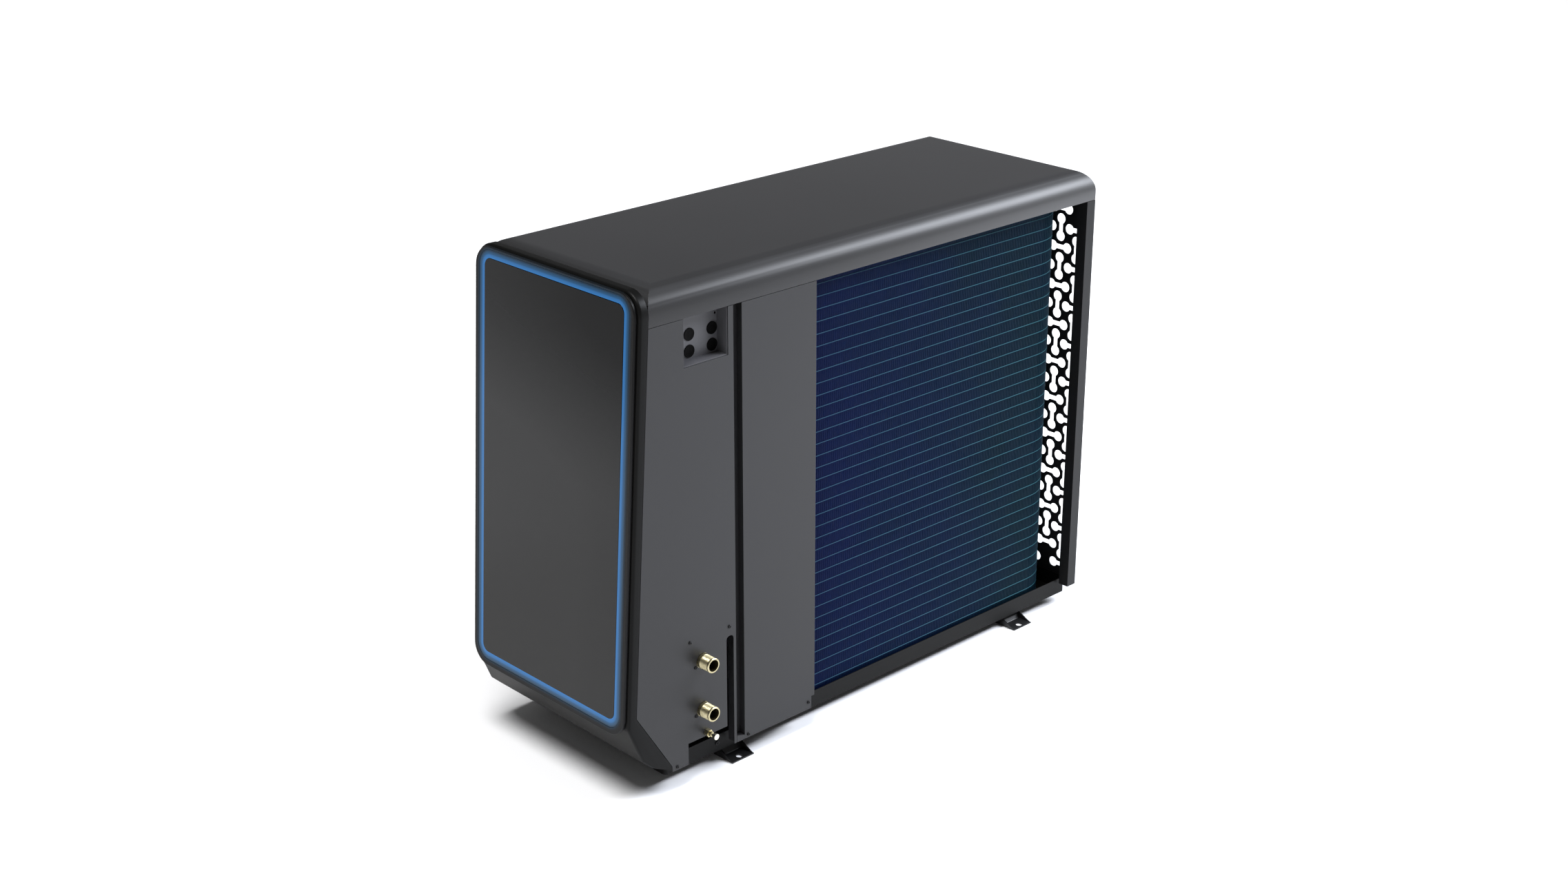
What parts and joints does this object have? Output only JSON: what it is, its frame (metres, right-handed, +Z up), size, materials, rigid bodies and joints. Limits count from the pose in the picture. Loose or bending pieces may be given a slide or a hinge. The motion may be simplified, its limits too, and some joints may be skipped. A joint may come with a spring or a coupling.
{
  "type": "heat pump unit",
  "caption": "Upright air-source heat pump with a leaning lit glass front, exposed finned coil, water nipples and bolt-down foot rails.",
  "frame": {"origin": "middle of the four foot bolts, at floor level", "axes": "+Z up, -Y towards the leaning front, +X towards the coil and the water nipples"},
  "size_m": [0.4505, 1.1488, 0.882],
  "materials": {
    "cabinet_grey": "satin powder coat",
    "cabinet_dark": "satin powder coat",
    "steel_black": "black e-coat",
    "plastic_black": "fine texture",
    "border_dark": "satin",
    "glass_smoked": "gloss, smoked and backed",
    "light_blue": "lit blue diffuser",
    "fin_blue": "blue hydrophilic coat",
    "copper": "drawn copper",
    "brass": "machined",
    "galvanised": "zinc coat",
    "steel_bright": "turned",
    "motor_grey": "cast",
    "rubber_black": "matte",
    "pvc_grey": "moulded",
    "titanium": "drawn",
    "nickel": "nickel plate",
    "board_green": "solder mask",
    "aluminium_plain": "extruded",
    "screw_black": "black zinc"
  },
  "bodies": {
    "cabinet": {"accumulator": "steel_black", "base_tray": "cabinet_dark", "board_capacitors": "plastic_black", "cabinet_screws": "screw_black", "cable_grommets": "rubber_black", "cable_plate": "cabinet_grey", "coil_bends": "copper", "coil_end_plates": "galvanised", "compressor": "steel_black", "compressor_bolts": "steel_bright", "compressor_mounts": "rubber_black", "compressor_terminal_cap": "plastic_black", "condensate_spout": "plastic_black", "condenser_pipe": "copper", "control_board": "board_green", "discharge_pipe": "copper", "drain_valve": "brass", "electrical_box": "galvanised", "electrical_lid": "galvanised", "evaporator_fins": "fin_blue", "evaporator_pipe": "copper", "exchanger_cap": "pvc_grey", "exchanger_coil": "titanium", "exchanger_core": "pvc_grey", "exchanger_shell": "pvc_grey", "exchanger_stand": "plastic_black", "expansion_valve": "brass", "fan_grille": "cabinet_dark", "fan_motor": "motor_grey", "fan_panel": "cabinet_grey", "fan_ring": "plastic_black", "four_way_valve": "brass", "front_foot_rail": "steel_black", "front_frame": "plastic_black", "front_glass": "glass_smoked", "front_plate": "border_dark", "heat_sink": "aluminium_plain", "injection_pipe": "copper", "left_panel": "cabinet_grey", "light_ring": "light_blue", "light_strip": "board_green", "liquid_line": "copper", "lock_nuts": "brass", "motor_bracket": "galvanised", "partition": "galvanised", "reactor": "steel_black", "rear_foot_rail": "steel_black", "rear_guard": "cabinet_dark", "service_panel": "cabinet_grey", "side_panel": "cabinet_grey", "suction_pipe": "copper", "terminal_block": "plastic_black", "top_cover": "cabinet_grey", "valve_solenoid": "plastic_black", "water_inlet": "brass", "water_outlet": "brass"},
    "fan": {"fan_blades": "plastic_black", "fan_shaft": "steel_bright", "fan_nut": "steel_bright"},
    "drain_knob_body": {"drain_knob": "nickel"}
  },
  "joints": [
    {"name": "fan_spin", "type": "hinge", "parent": "cabinet", "child": "fan", "pos_m": [-0.15, 0.145, 0.432], "axis": [1, 0, 0], "continuous": true},
    {"name": "drain_knob_turn", "type": "hinge", "parent": "cabinet", "child": "drain_knob_body", "pos_m": [0.215, -0.4505, 0.085], "axis": [1, 0, 0], "range_deg": [0, 90]}
  ]
}
